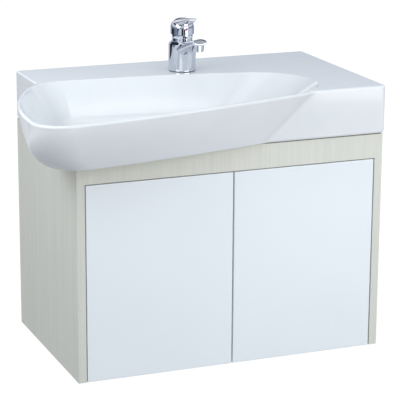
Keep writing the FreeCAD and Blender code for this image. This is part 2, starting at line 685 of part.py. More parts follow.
def leaf(contour, inset, height):
    """Closed wire at one height: the corner's left and front limits and radius, tip and shoulder circles."""
    left, front, corner = contour[:3]
    circles = [(left + corner, front + corner, corner), contour[3:6], contour[6:]]
    bows = [bow - inset for bow in BOWS]
    centres = []
    for number, circle in enumerate(circles):
        centres.append(long_arc_centre(circle, circles[(number + 1) % 3], bows[number]))
    edges = []
    for number, (x, y, radius) in enumerate(circles):
        turns = [math.atan2(y - middle.y, x - middle.x) for middle in (centres[number - 1], centres[number])]
        edges.append(arc(Vector(x, y, height), radius, *turns))
        following = circles[(number + 1) % 3]
        middle = Vector(centres[number].x, centres[number].y, height)
        turn = math.atan2(following[1] - middle.y, following[0] - middle.x)
        edges.append(arc(middle, bows[number], turns[1], turn))
    return Part.Wire(edges)


def rim_outline(inset):
    """Corner limits, corner radius, tip circle and shoulder circle of the rim."""
    limits = (val(f"-{HALF} - bowl_left") + inset, val(f"{FRONT} - bowl_front") + inset)
    tip = (val("tip_offset"), val("-tip_setback"), val("tip_round") - inset)
    shoulder = (val(f"-{HALF} + shoulder_inset"), val("-shoulder_setback"))
    return (*limits, val("corner_round") - inset, *tip, *shoulder, val("shoulder_round") - inset)


def foot_outline(inset, tip):
    """The same for the bowl's bottom, round a given tip circle."""
    left = val(f"-{HALF} - bowl_left + foot_left") + inset
    front = val(f"{FRONT} - bowl_front + foot_front") + inset
    shoulder = (val(f"-{HALF} + foot_shoulder_inset"), val("-foot_shoulder_setback"))
    return (left, front, val("foot_corner") - inset, *tip, *shoulder, val("foot_shoulder") - inset)


# The corner's limits curve in towards the foot, so the walls bulge there. Radii and the other two
# circles change evenly.
FULLNESS = (val("left_fullness"), val("front_fullness"), 1, 1, 1, 1, 1, 1, 1)
WALL_LEVELS = 5


def bowl(low, high, foot, rim, inset):
    """Solid between two heights, its wall smooth through a few outlines."""
    wires = []
    for level in range(WALL_LEVELS + 1):
        share = level / WALL_LEVELS
        contour = [top + (bottom - top) * (1 - share)**fullness
                   for bottom, top, fullness in zip(foot, rim, FULLNESS)]
        wires.append(leaf(contour, inset, low + (high - low) * share))
    return Part.makeLoft(wires, True)


def bowl_outside():
    tip = (val("foot_tip_offset"), val("-foot_tip_setback"), val("foot_tip"))
    return bowl(val(SEAT), val(DECK), foot_outline(0, tip), rim_outline(0), 0)


def bowl_inside():
    tip = (0, val("-waste_setback"), val("floor_tip"))
    wall = val("rim_wall")
    return bowl(val(BOWL_FLOOR), val(DECK), foot_outline(val("floor_inset"), tip), rim_outline(wall), wall)


def feature(name, shape):
    obj = doc.addObject("Part::Feature", name)
    obj.Shape = shape
    return obj


def upright(edge):
    ends = edge.discretize(2)
    return abs(ends[0].z - ends[1].z) > 1e-6


def at_level(text):
    height = val(text)
    return lambda edge: all(abs(point.z - height) < 1e-6 for point in edge.discretize(3))


SLAB_LEFT = f"(-{HALF} - slab_side)"
SLAB_FRONT = f"({FRONT} - slab_front)"
SLAB_WIDTH = "(cabinet_width + 2 * slab_side)"
SLAB_DEPTH = "(cabinet_depth + slab_front)"


def make_slab():
    corners = (("0", "0"), (SLAB_WIDTH, "0"), (SLAB_WIDTH, SLAB_DEPTH), ("0", SLAB_DEPTH))
    slab = padded("XY_Plane", corners, "basin_height", (SLAB_LEFT, SLAB_FRONT, SEAT))
    return rounded(slab, "slab_corner", upright)


def crease(edge):
    """Leaning edges on the slab's front and left faces, where the bowl leaves them."""
    points = edge.discretize(3)
    climb = points[2] - points[0]
    leans = min(abs(climb.z), math.hypot(climb.x, climb.y)) > 1e-3
    on_front = all(abs(point.y - val(SLAB_FRONT)) < 1e-3 for point in points)
    on_left = all(abs(point.x - val(SLAB_LEFT)) < 1e-3 for point in points)
    return leans and (on_front or on_left)


def inner_rim(edge):
    """Edges where the bowl's inside meets the deck."""
    if not at_level(DECK)(edge):
        return False
    wall = val("rim_wall")
    lip = leaf(rim_outline(wall), wall, val(DECK))
    middle = edge.valueAt((edge.FirstParameter + edge.LastParameter) / 2)
    return lip.distToShape(Part.Vertex(middle))[0] < wall / 100


WASTE_X = "0"
WASTE_Y = "-waste_setback"
TAP_X = "0"
TAP_Y = "-tap_setback"
outside = feature("BowlOutside", bowl_outside())
ceramic = end_rounded(fuse([make_slab(), outside]), "crease_round", crease)
ceramic = end_rounded(ceramic, "rim_round", at_level(DECK))
ceramic = end_rounded(ceramic, "foot_round", at_level(SEAT))
hollow = box((f"{SLAB_LEFT} + slab_wall", f"{SLAB_FRONT} + slab_wall", SEAT),
             (f"{SLAB_WIDTH} - 2 * slab_wall", f"{SLAB_DEPTH} - 2 * slab_wall", "basin_height - deck"))
inside = end_rounded(feature("BowlInside", bowl_inside()), "floor_round", at_level(BOWL_FLOOR))
tap_hole = rod((TAP_X, TAP_Y, f"{DECK} - deck"), "z", "tap_hole", "deck")
waste_hole = rod((WASTE_X, WASTE_Y, SEAT), "z", "waste_radius + waste_hole_play", "floor_thickness")
SINK = "(flange_height + washer_height)"
recess = rod((WASTE_X, WASTE_Y, f"{BOWL_FLOOR} - {SINK}"), "z", "flange_radius + recess_play", SINK)
holed = cut(ceramic, [cut(hollow, [outside]), inside, tap_hole, waste_hole, recess])
node("basin", end_rounded(holed, "lip_round", inner_rim))

# Waste: flange and tube, clamped on the bowl's floor by the back nut
FLANGE_SEAT = f"({BOWL_FLOOR} - flange_height)"
TUBE_END = f"({BOWL_FLOOR} - waste_length)"


def at_waste(z):
    return (WASTE_X, WASTE_Y, z)


node("waste_flange", turned((
    ("waste_bore", "0"), ("waste_radius", "0"), ("waste_radius", "waste_length - flange_height"),
    ("flange_radius", "waste_length - flange_height"), ("flange_radius", "waste_length - flange_chamfer"),
    ("flange_radius - flange_chamfer", "waste_length"), ("dish_radius", "waste_length"),
    ("waste_bore", "waste_length - flange_height")), at_waste(TUBE_END)))
node("waste_washer", ring(at_waste(f"{FLANGE_SEAT} - washer_height"), "z", "flange_radius",
                          "waste_radius + thread_play", "washer_height"))
node("waste_gasket", ring(at_waste(SEAT), "-z", "gasket_radius", "waste_radius + thread_play",
                          "gasket_height"))
nut_blank = hexagon(at_waste(f"{SEAT} - gasket_height"), "-z", "nut_radius", "nut_height")
nut_bore = rod(at_waste(f"{SEAT} - gasket_height"), "-z", "waste_radius + thread_play", "nut_height")
node("waste_back_nut", cut(nut_blank, [nut_bore]))

# Guide: a hub on three spokes in the waste tube, in which the plug's stem slides
GUIDE_Z = f"({BOWL_FLOOR} - guide_drop - guide_height)"
SPOKE_START = "(guide_hub - spoke_width / 2)"
guide = [ring(at_waste(GUIDE_Z), "z", "guide_hub", "stem_radius + thread_play", "guide_height"),
         ring(at_waste(GUIDE_Z), "z", "waste_bore - thread_play", "waste_bore - guide_ring", "spoke_height")]
for angle in (0, 120, 240):
    spoke = box(("0", "0", "0"), ("spoke_width", "waste_bore - guide_hub", "spoke_height"))
    x = f"-spoke_width / 2 * cos({angle}) - {SPOKE_START} * sin({angle})"
    y = f"{WASTE_Y} - spoke_width / 2 * sin({angle}) + {SPOKE_START} * cos({angle})"
    guide.append(place(spoke, (x, y, GUIDE_Z), Rotation(Vector(0, 0, 1), angle)))
node("waste_guide", fuse(guide))

# Plug, shown pressed shut: its ring lies just above the dished flange
SEAL_RADIUS = "(plug_radius - plug_seal_inset)"
DISH = f"(flange_height * (dish_radius - {SEAL_RADIUS}) / (dish_radius - waste_bore))"
PLUG_SEAT = f"({BOWL_FLOOR} - {DISH} + plug_seal + plug_clear)"
node("waste_plug", turned((
    ("0", "0"), ("plug_radius", "0"), ("plug_radius", "plug_edge"), ("plug_brow", "plug_brow_height"),
    ("0", "plug_dome")), at_waste(PLUG_SEAT)))
node("plug_seal_ring", ring(at_waste(PLUG_SEAT), "-z", SEAL_RADIUS, f"{SEAL_RADIUS} - plug_seal_width",
                            "plug_seal"))
node("plug_stem", rod(at_waste(PLUG_SEAT), "-z", "stem_radius", "stem_length"))

# Bottle trap below the waste, with its outlet to the wall
PIPE_BORE = "(pipe_radius - pipe_wall)"
SLEEVE = "(pipe_radius + thread_play + sleeve_wall)"
TRAP_TOP = f"({TUBE_END} - trap_drop)"
TRAP_FOOT = f"({TRAP_TOP} - trap_height)"
OUTLET_Z = f"({TRAP_TOP} - trap_height / 2)"
NUT_OVERLAP = "(sleeve_length - sleeve_wall)"

node("trap_inlet_nut", turned((
    ("pipe_radius + thread_play", "0"), ("union_radius", "0"), ("union_radius", "union_height"),
    ("waste_radius + thread_play", "union_height"), ("waste_radius + thread_play", "union_floor"),
    ("pipe_radius + thread_play", "union_floor")),
    at_waste(f"{TUBE_END} - pipe_collar - union_floor")))
PIPE_LENGTH = "(trap_drop + trap_height + dip)"
COLLAR_RADIUS = "(waste_radius - thread_play)"
node("trap_inlet_pipe", turned((
    (PIPE_BORE, "0"), ("pipe_radius", "0"), ("pipe_radius", f"{PIPE_LENGTH} - pipe_collar"),
    (COLLAR_RADIUS, f"{PIPE_LENGTH} - pipe_collar"), (COLLAR_RADIUS, PIPE_LENGTH), (PIPE_BORE, PIPE_LENGTH)),
    at_waste(f"{TUBE_END} - {PIPE_LENGTH}")))

trap_shell = turned((
    ("trap_radius - trap_wall", "0"), ("trap_radius", "0"), ("trap_radius", "trap_height - trap_wall"),
    (SLEEVE, "trap_height"), (SLEEVE, "trap_height + sleeve_length"),
    ("pipe_radius + thread_play", "trap_height + sleeve_length"),
    ("pipe_radius + thread_play", "trap_height - trap_roof"),
    ("trap_radius - trap_wall", "trap_height - trap_roof")), at_waste(TRAP_FOOT))
SOCKET_LENGTH = "(trap_radius + outlet_length)"
socket = rod((WASTE_X, WASTE_Y, OUTLET_Z), "y", SLEEVE, SOCKET_LENGTH)
socket_bore = rod((WASTE_X, WASTE_Y, OUTLET_Z), "y", "pipe_radius + thread_play", SOCKET_LENGTH)
trap_room = rod(at_waste(TRAP_FOOT), "z", "trap_radius - trap_wall", "trap_height - trap_roof")
node("trap_body", cut(fuse([trap_shell, socket]), [socket_bore, trap_room]))
node("trap_bottle_seal", ring(at_waste(TRAP_FOOT), "-z", "trap_radius", "trap_radius - trap_wall",
                              "bottle_seal"))
node("trap_bottle", turned((
    ("0", "0"), ("bottle_foot", "0"), ("trap_radius", "bottle_taper"), ("trap_radius", "bottle_height"),
    ("trap_radius - trap_wall", "bottle_height"), ("trap_radius - trap_wall", "bottle_taper + trap_wall / 2"),
    ("bottle_foot - trap_wall / 2", "trap_wall"), ("0", "trap_wall")),
    at_waste(f"{TRAP_FOOT} - bottle_seal - bottle_height")))


def pipe_nut(at, axis):
    """Nut on a trap socket; its collar reaches in to the pipe."""
    blank = hexagon(at, axis, "trap_nut_radius", "trap_nut_height")
    thread = rod(at, axis, f"{SLEEVE} + thread_play", NUT_OVERLAP)
    hole = rod(at, axis, "pipe_radius + thread_play", "trap_nut_height")
    return cut(blank, [thread, hole])


node("trap_top_nut", pipe_nut(at_waste(f"{TRAP_TOP} + sleeve_length - {NUT_OVERLAP}"), "z"))
OUTLET_END = f"({WASTE_Y} + {SOCKET_LENGTH})"
node("trap_outlet_nut", pipe_nut((WASTE_X, f"{OUTLET_END} - {NUT_OVERLAP}", OUTLET_Z), "y"))
OUTLET_START = f"({OUTLET_END} - sleeve_length)"
node("trap_outlet_pipe", ring((WASTE_X, OUTLET_START, OUTLET_Z), "y", "pipe_radius", PIPE_BORE,
                              f"-{OUTLET_START}"))

# Mixer
LIFT_Z = f"({DECK} + tap_height + dome_centre)"
BODY_TOP = f"({DECK} + tap_height)"


def at_tap(z, forward="0"):
    return (TAP_X, f"{TAP_Y} - ({forward})", z)


node("mixer_base_gasket", ring(at_tap(DECK), "z", "tap_radius - tap_gasket", "tap_hole", "tap_gasket"))


def leaning(forward, rise, width, height, start, end):
    """Tapered bar of oval section that leans forward from the mixer's axis."""
    tilt = Rotation(Vector(1, 0, 0), math.degrees(math.atan2(val(forward), val(rise))))
    ovals = []
    for at, wide, tall in zip((at_tap(start), at_tap(end, forward)), width, height):
        ovals.append(primitive("Ellipse", at, tilt, MajorRadius=f"{wide} / 2", MinorRadius=f"{tall} / 2"))
    loft = doc.addObject("Part::Loft", "Loft")
    loft.Sections = ovals
    loft.Solid = True
    limit = val(f"{TAP_Y} - {forward} / 2")
    return loft, lambda edge: edge.Closed and edge.CenterOfMass.y < limit


SPOUT_Z = f"({DECK} + spout_root)"
bar, tip_edge = leaning("spout_reach", "spout_rise", ("spout_root_width", "spout_tip_width"),
                        ("spout_root_height", "spout_tip_height"), SPOUT_Z, f"{SPOUT_Z} + spout_rise")
spout = end_rounded(bar, "spout_round", tip_edge)
OUTLET_FORWARD = "(spout_reach - outlet_inset)"
SPOUT_OUTLET = f"({SPOUT_Z} + spout_rise - outlet_drop)"
collar = rod(at_tap(SPOUT_OUTLET, OUTLET_FORWARD), "z", "outlet_radius", "outlet_drop")
shape = turned((
    ("0", "tap_gasket"), ("tap_radius", "tap_gasket"), ("tap_radius", "tap_gasket + tap_band"),
    ("tap_waist", "tap_height - tap_round"), ("tap_waist - tap_round", "tap_height"), ("0", "tap_height")),
    at_tap(DECK))
CARTRIDGE_TOP = f"({BODY_TOP} - ring_seat)"
CARTRIDGE_FOOT = f"({CARTRIDGE_TOP} - cartridge_height)"
pocket = rod(at_tap(CARTRIDGE_FOOT), "z", "cartridge_radius + thread_play", "cartridge_height")
nut_seat = rod(at_tap(CARTRIDGE_TOP), "z", "ring_radius + thread_play", "ring_seat")
outlet_bore = rod(at_tap(SPOUT_OUTLET, OUTLET_FORWARD), "z", "aerator_radius + thread_play", "aerator_seat")
BODY_FOOT = f"({DECK} + tap_gasket)"
body_bores = [pocket, nut_seat, outlet_bore,
              rod(at_tap(BODY_FOOT, "-stud_setback"), "z", "stud_radius + thread_play", "stud_depth")]
for sign in ("-", "+"):
    at = (f"{TAP_X} {sign} inlet_offset", f"{TAP_Y} - inlet_setback", BODY_FOOT)
    body_bores.append(rod(at, "z", "inlet_radius", "inlet_depth"))
node("mixer_body", cut(fuse([shape, spout, collar]), body_bores))

AERATOR_FOOT = f"({SPOUT_OUTLET} + aerator_seat - aerator_height)"
node("aerator_housing", ring(at_tap(AERATOR_FOOT, OUTLET_FORWARD), "z", "aerator_radius",
                             "aerator_radius - aerator_wall", "aerator_height"))
node("aerator_insert", rod(at_tap(f"{AERATOR_FOOT} + insert_recess", OUTLET_FORWARD), "z",
                           "aerator_radius - aerator_wall - thread_play", "insert_height"))

# Cartridge in the body's pocket, held by a ring nut; the neck cover hides both
cartridge_blank = rod(at_tap(CARTRIDGE_FOOT), "z", "cartridge_radius", "cartridge_height")
ROTOR_FOOT = f"({CARTRIDGE_TOP} - rotor_depth)"
rotor_bore = rod(at_tap(ROTOR_FOOT), "z", "rotor_stem + thread_play", "rotor_depth")
node("cartridge", cut(cartridge_blank, [rotor_bore]))
node("cartridge_nut", ring(at_tap(CARTRIDGE_TOP), "z", "ring_radius", "ring_bore", "ring_height"))


def ball(radius, low, high):
    """Ball about the lift axis, cut off below and above at two latitudes."""
    obj = primitive("Sphere", at_tap(LIFT_Z), Radius=radius)
    obj.setExpression("Angle1", bound(low))
    obj.setExpression("Angle2", bound(high))
    return obj


dome = ball("dome_radius", "-dome_below", "dome_above")
neck = rod(at_tap(BODY_TOP), "z", "neck_radius", "dome_centre")
inside_ball = ball("dome_radius - dome_wall", "-90", "90")
inside_neck = rod(at_tap(BODY_TOP), "z", "neck_radius - neck_wall", "dome_centre")
node("neck_cover", cut(fuse([dome, neck]), [inside_ball, inside_neck]))

# Rotor turns in the cartridge; the spindle tilts in its fork on the lift pin
fork = turned((
    ("0", "0"), ("rotor_stem", "0"), ("rotor_stem", "rotor_depth"), ("rotor_radius", "rotor_depth"),
    ("rotor_radius", f"{LIFT_Z} + rotor_ear - {ROTOR_FOOT}"), ("0", f"{LIFT_Z} + rotor_ear - {ROTOR_FOOT}")),
    at_tap(ROTOR_FOOT))
SLOT = "(spindle_width + 2 * fork_play)"
slot = box((f"{TAP_X} - {SLOT} / 2", f"{TAP_Y} - rotor_radius", f"{LIFT_Z} - fork_depth"),
           (SLOT, "2 * rotor_radius", "fork_depth + rotor_ear"))
PIN_START = (f"{TAP_X} - axis_pin_length / 2", TAP_Y, LIFT_Z)
fork_bore = rod(PIN_START, "x", "axis_pin + pin_seat", "axis_pin_length")
node("cartridge_rotor", cut(fork, [slot, fork_bore]))
node("lift_pin", rod(PIN_START, "x", "axis_pin", "axis_pin_length"))
SPINDLE_FOOT = f"({LIFT_Z} - spindle_tail)"
SPINDLE_TOP = f"({LIFT_Z} + hood_ceiling + spindle_grip)"
spindle_blank = box((f"{TAP_X} - spindle_width / 2", f"{TAP_Y} - spindle_width / 2", SPINDLE_FOOT),
                    ("spindle_width", "spindle_width", f"{SPINDLE_TOP} - {SPINDLE_FOOT}"))
spindle_side = (f"{TAP_X} - spindle_width / 2", TAP_Y, LIFT_Z)
spindle_bore = rod(spindle_side, "x", "axis_pin + pin_play", "spindle_width")
node("lever_spindle", cut(spindle_blank, [spindle_bore]))

# Lever: hood over the neck cover, drawn out to a blade that rises forward
HOOD_FOOT = f"({LIFT_Z} + hood_skirt)"
HOOD_HEIGHT = "(hood_ceiling + hood_top - hood_skirt)"
hood = turned((("0", "0"), ("hood_radius", "0"), ("hood_radius", HOOD_HEIGHT), ("0", HOOD_HEIGHT)),
              at_tap(HOOD_FOOT))
rounded(hood, "hood_round", at_level(HOOD_HEIGHT))
bar, tip_edge = leaning("lever_reach", "lever_rise", ("lever_root_width", "lever_tip_width"),
                        ("lever_root_height", "lever_tip_height"), f"{LIFT_Z} + lever_root",
                        f"{LIFT_Z} + lever_root + lever_rise")
blade = end_rounded(bar, "lever_round", tip_edge)
room = ball("dome_radius + hood_play", "-90", "90")
ceiling = box((f"{TAP_X} - hood_radius", f"{TAP_Y} - hood_radius", f"{LIFT_Z} + hood_ceiling"),
              ("2 * hood_radius", "2 * hood_radius", "hood_radius"))
PLAY = "thread_play"
grip = box((f"{TAP_X} - spindle_width / 2 - {PLAY}", f"{TAP_Y} - spindle_width / 2 - {PLAY}",
            f"{LIFT_Z} + hood_ceiling"),
           (f"spindle_width + 2 * {PLAY}", f"spindle_width + 2 * {PLAY}", "spindle_grip"))
MARK_Z = f"({LIFT_Z} + mark_height)"
mark_seat = rod(at_tap(MARK_Z, "hood_radius - mark_depth"), "-y", f"mark_radius + {PLAY}", "mark_depth")
GRUB_Z = f"({LIFT_Z} + hood_ceiling + spindle_grip / 2)"
grub_hole = rod(at_tap(GRUB_Z, "-spindle_width / 2"), "y", f"grub_radius + {PLAY}", "hood_radius")
node("mixer_lever", cut(fuse([hood, blade]), [cut(room, [ceiling]), grip, mark_seat, grub_hole]))
node("lever_screw", rod(at_tap(GRUB_Z, f"-spindle_width / 2 - {PLAY}"), "y", "grub_radius", "grub_length"))
node("hot_cold_mark", rod(at_tap(MARK_Z, "hood_radius - mark_depth"), "-y", "mark_radius", "mark_depth"))

# Fixing below the deck: stud, horseshoe gasket and plate, nut
DECK_UNDER = f"({DECK} - deck)"


def horseshoe(top, thickness):
    disc = rod(at_tap(top), "-z", "shoe_radius", thickness)
    opening = box((f"{TAP_X} - shoe_slot / 2", f"{TAP_Y} - 2 * shoe_radius", f"{top} - {thickness}"),
                  ("shoe_slot", "2 * shoe_radius + stud_setback - 2 * stud_radius", thickness))
    hole = rod(at_tap(top, "-stud_setback"), "-z", "stud_radius + thread_play", thickness)
    return cut(disc, [opening, hole])


node("horseshoe_gasket", horseshoe(DECK_UNDER, "shoe_gasket"))
node("horseshoe_plate", horseshoe(f"({DECK_UNDER} - shoe_gasket)", "shoe_plate"))
node("fixing_stud", rod(at_tap(f"{DECK} - stud_length", "-stud_setback"), "z", "stud_radius",
                        "stud_length + tap_gasket + stud_depth"))
NUT_TOP = f"({DECK_UNDER} - shoe_gasket - shoe_plate)"
stud_nut = hexagon(at_tap(NUT_TOP, "-stud_setback"), "-z", "stud_nut_radius", "stud_nut_height")
stud_nut_bore = rod(at_tap(NUT_TOP, "-stud_setback"), "-z", "stud_radius + thread_play", "stud_nut_height")
node("fixing_nut", cut(stud_nut, [stud_nut_bore]))

doc.recompute()
faulty = [obj.Label for obj in doc.Objects if {"Invalid", "Error"} & set(obj.State)]
faulty += [name for name, obj in NODES.items() if obj.Shape.isNull() or not obj.Shape.isValid()]
if faulty:
    raise RuntimeError(f"not built: {faulty}")
os.makedirs("parts", exist_ok=True)
for name, obj in NODES.items():
    obj.Shape.exportStep(f"parts/{name}.step")
print(len(NODES), "sub-parts,", sum(len(obj.Shape.Solids) for obj in NODES.values()), "solids")
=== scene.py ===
# %% [markdown]
# # A wall-hung vanity unit with a leaf-shaped basin
# The unit is a two-door cabinet in pale ash laminate that carries a one-piece ceramic basin, a chrome
# mixer and a bottle trap. The construction comes as a finished frame, in metres, with every piece at
# its real place. This lesson gives each piece its finish, adds the small turned and cut details,
# and sets up the studio. First the frame is loaded.

# %% Load the frame
import math

import bmesh
import bpy
from mathutils import Matrix, Vector


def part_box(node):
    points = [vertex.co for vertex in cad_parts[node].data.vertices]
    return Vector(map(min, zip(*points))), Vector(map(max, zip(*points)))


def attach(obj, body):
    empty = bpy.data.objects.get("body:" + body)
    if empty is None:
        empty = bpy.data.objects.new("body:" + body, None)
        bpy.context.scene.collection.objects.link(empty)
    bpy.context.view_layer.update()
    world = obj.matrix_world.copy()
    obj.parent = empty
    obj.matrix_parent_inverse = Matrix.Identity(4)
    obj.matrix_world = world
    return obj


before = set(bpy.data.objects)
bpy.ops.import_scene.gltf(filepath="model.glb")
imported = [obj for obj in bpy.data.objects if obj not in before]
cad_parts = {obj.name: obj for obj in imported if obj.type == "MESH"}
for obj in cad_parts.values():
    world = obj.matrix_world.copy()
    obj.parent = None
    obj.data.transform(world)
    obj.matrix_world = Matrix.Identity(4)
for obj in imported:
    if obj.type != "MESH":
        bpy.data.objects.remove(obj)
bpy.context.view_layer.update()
MM = 0.001
print("pieces in the frame:", len(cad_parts))

# %% [markdown]
# ## Helpers for every finish
# Shaders work in linear light, while a colour is easiest to pick as the hex code of a screen, so one
# function turns one into the other. A second function adds a node, sets it and links it in one line.
# Keys in lower case are the node's own options, the other keys are its input sockets, and stops are the
# places and hex codes of a colour ramp, in rising order. The last two functions start a material and
# link its shader to what varies over the surface.


# %% Helpers for finishes
def linear(code):
    """The linear RGBA of an sRGB hex code."""
    channels = [int(code[i : i + 2], 16) / 255 for i in (0, 2, 4)]
    return (*[c / 12.92 if c <= 0.04045 else ((c + 0.055) / 1.055) ** 2.4 for c in channels], 1.0)


def add(tree, kind, settings=None, links=None, stops=()):
    """Add one node with its settings and colour stops, and link its sockets to what feeds them."""
    node = tree.nodes.new("ShaderNode" + kind)
    for key, value in (settings or {}).items():
        if isinstance(key, str) and key.islower():
            setattr(node, key, value)
        else:
            node.inputs[key].default_value = value
    for key, source in (links or {}).items():
        tree.links.new(source, node.inputs[key])
    if stops:
        points = node.color_ramp.elements
        points[0].position = stops[0][0]
        points[-1].position = stops[-1][0]
        for place, code in stops[1:-1]:
            points.new(place).color = linear(code)
        points[0].color = linear(stops[0][1])
        points[-1].color = linear(stops[-1][1])
    return node


def finish(name, sockets):
    """A new material whose uniform numbers sit on the shader's own sockets."""
    material = bpy.data.materials.new(name)
    material.use_nodes = True
    shader = material.node_tree.nodes["Principled BSDF"]
    for socket, value in sockets.items():
        shader.inputs[socket].default_value = value
    return material, material.node_tree, shader


def feed(tree, shader, sources):
    """Link what varies over the surface to the shader's sockets."""
    for socket, source in sources.items():
        tree.links.new(source, shader.inputs[socket])


print("black and white:", linear("000000")[:3], linear("FFFFFF")[:3])

# %% [markdown]
# ## Pale ash laminate
# The carcass boards are chipboard with a printed melamine laminate: a matt grey-beige ash whose fine
# grain runs straight up the sides and the rail. An image of wood would be the quick way, but noise that
# is stretched along the grain needs no picture and has no seams. Two noises are laid over each other:
# pores, which are about 0.3 mm wide on the real print and drawn 2 mm wide so that they show, and broad
# growth bands. The boards that lie across get the same finish with the grain turned along them.

# %% Ash laminate
ASH_TONES = ((0.3, "D5D7CE"), (0.7, "E2E3DA"))
PORE_SHARE = 0.7
BAND_SHARE = 0.3


def cells(x, y, z):
    """The mapping scale that makes one noise cell this many millimetres wide along each axis."""
    return (1 / (x * MM), 1 / (y * MM), 1 / (z * MM))


def ash_laminate(name, pores, bands):
    """A laminate whose pores and growth bands are noise cells of these sizes in millimetres."""
    material, tree, shader = finish(name, {"IOR": 1.45, "Specular IOR Level": 0.3})
    place = add(tree, "TexCoord").outputs["Object"]
    fine = add(tree, "Mapping", {"Scale": cells(*pores)}, {"Vector": place}).outputs[0]
    broad = add(tree, "Mapping", {"Scale": cells(*bands)}, {"Vector": place}).outputs[0]
    streaks = {"Scale": 1.0, "Detail": 3.0, "Roughness": 0.6}
    pore = add(tree, "TexNoise", streaks, {"Vector": fine}).outputs["Fac"]
    band = add(tree, "TexNoise", {"Scale": 1.0, "Detail": 2.0}, {"Vector": broad}).outputs["Fac"]
    share = add(tree, "Math", {"operation": "MULTIPLY", 1: BAND_SHARE}, {0: band}).outputs[0]
    mixed = {"operation": "MULTIPLY_ADD", 1: PORE_SHARE}
    grain = add(tree, "Math", mixed, {0: pore, 2: share}).outputs[0]
    tone = add(tree, "ValToRGB", links={"Fac": grain}, stops=ASH_TONES).outputs["Color"]
    dull = add(tree, "MapRange", {"To Min": 0.55, "To Max": 0.42}, {"Value": pore}).outputs["Result"]
    relief = add(tree, "Bump", {"Strength": 0.3, "Distance": 0.05 * MM}, {"Height": pore}).outputs["Normal"]
    feed(tree, shader, {"Base Color": tone, "Roughness": dull, "Normal": relief})
    return material


ash_upright = ash_laminate("pale_ash_melamine_upright", pores=(2, 2, 140), bands=(18, 18, 800))
ash_lying = ash_laminate("pale_ash_melamine_lying", pores=(140, 2, 2), bands=(800, 18, 18))
print("laminates:", ash_upright.name, ash_lying.name)

# %% [markdown]
# ## White gloss lacquer
# The doors are board sprayed with a clear-topped white lacquer. Polishing leaves it almost a mirror,
# with a faint ripple called orange peel, a few millimetres wide. A clear coat over a smooth white base
# gives that depth, and a very low bump breaks up long reflections just enough to look sprayed.

# %% Door lacquer
LACQUER_TONES = ((0.0, "EFF6FB"), (1.0, "F3F9FE"))
PEEL_WIDTH = 5 * MM
CLOUD_WIDTH = 180 * MM
lacquer, tree, shader = finish(
    "white_gloss_lacquer",
    {"IOR": 1.5, "Coat Weight": 0.5, "Coat Roughness": 0.03, "Coat IOR": 1.5},
)
place = add(tree, "TexCoord").outputs["Object"]
spray = add(tree, "TexNoise", {"Scale": 1 / PEEL_WIDTH, "Detail": 1.0}, {"Vector": place}).outputs["Fac"]
cloud = add(tree, "TexNoise", {"Scale": 1 / CLOUD_WIDTH, "Detail": 1.0}, {"Vector": place}).outputs["Fac"]
white = add(tree, "ValToRGB", links={"Fac": cloud}, stops=LACQUER_TONES).outputs["Color"]
peel = add(tree, "Bump", {"Strength": 0.2, "Distance": 0.02 * MM}, {"Height": spray}).outputs["Normal"]
gloss = add(tree, "MapRange", {"To Min": 0.1, "To Max": 0.18}, {"Value": cloud}).outputs["Result"]
feed(tree, shader, {"Base Color": white, "Roughness": gloss, "Normal": peel})
print("door finish:", lacquer.name)

# %% [markdown]
# ## Glazed vitreous china
# The basin is cast clay under a white glaze that melts into a glass skin. The eye sees a soft white
# body below a sharp gloss, and a slow waviness where the glaze ran. A white base with the gloss of
# glass carries that, with a wide, low bump for the waviness and a little variation in the gloss.
# The foot that stands in the kiln is wiped bare of glaze, so the lowest half millimetre is matt biscuit.
# A node that mixes colours has more sockets than it shows, so the numbers of those used here get names.

# %% Basin glaze
CHINA_TONES = ((0.0, "E4E9ED"), (1.0, "EAEEF1"))
BISCUIT = linear("E2DCCD")
RUN_WIDTH = 45 * MM
FOOT_BARE = 0.5 * MM
MIX_FACTOR = 0
MIX_FIRST = 6
MIX_SECOND = 7
MIX_RESULT = 2
basin_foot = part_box("basin")[0].z
china, tree, shader = finish(
    "white_glazed_china", {"IOR": 1.52, "Coat Weight": 0.3, "Coat Roughness": 0.04}
)
place = add(tree, "TexCoord").outputs["Object"]
run = add(tree, "TexNoise", {"Scale": 1 / RUN_WIDTH, "Detail": 1.0}, {"Vector": place}).outputs["Fac"]
body = add(tree, "ValToRGB", links={"Fac": run}, stops=CHINA_TONES).outputs["Color"]
height = add(tree, "SeparateXYZ", links={"Vector": place}).outputs["Z"]
bare = add(tree, "Math", {"operation": "LESS_THAN", 1: basin_foot + FOOT_BARE}, {0: height}).outputs[0]
glazed = add(
    tree, "Mix", {"data_type": "RGBA", MIX_SECOND: BISCUIT}, {MIX_FACTOR: bare, MIX_FIRST: body}
).outputs[MIX_RESULT]
wave = add(tree, "Bump", {"Strength": 0.1, "Distance": 0.05 * MM}, {"Height": run}).outputs["Normal"]
gloss = add(tree, "MapRange", {"To Min": 0.07, "To Max": 0.14}, {"Value": run}).outputs["Result"]
dull = add(tree, "Math", {"operation": "MAXIMUM"}, {0: gloss, 1: bare}).outputs[0]
feed(tree, shader, {"Base Color": glazed, "Roughness": dull, "Normal": wave})
print("basin finish:", china.name, "bare below z =", round(basin_foot + FOOT_BARE, 4))

# %% [markdown]
# ## Chrome, nickel and brass
# The mixer and the waste are brass under bright chrome, polished before plating. The hinges, the screws
# and the fixing stud are steel with a duller nickel skin, and the metal nuts, the plug's stem and the
# lever's spindle are bare turned brass. One function makes all three metals: two close tints, a range of
# gloss, and marks of the size that polishing, rolling or turning leaves.


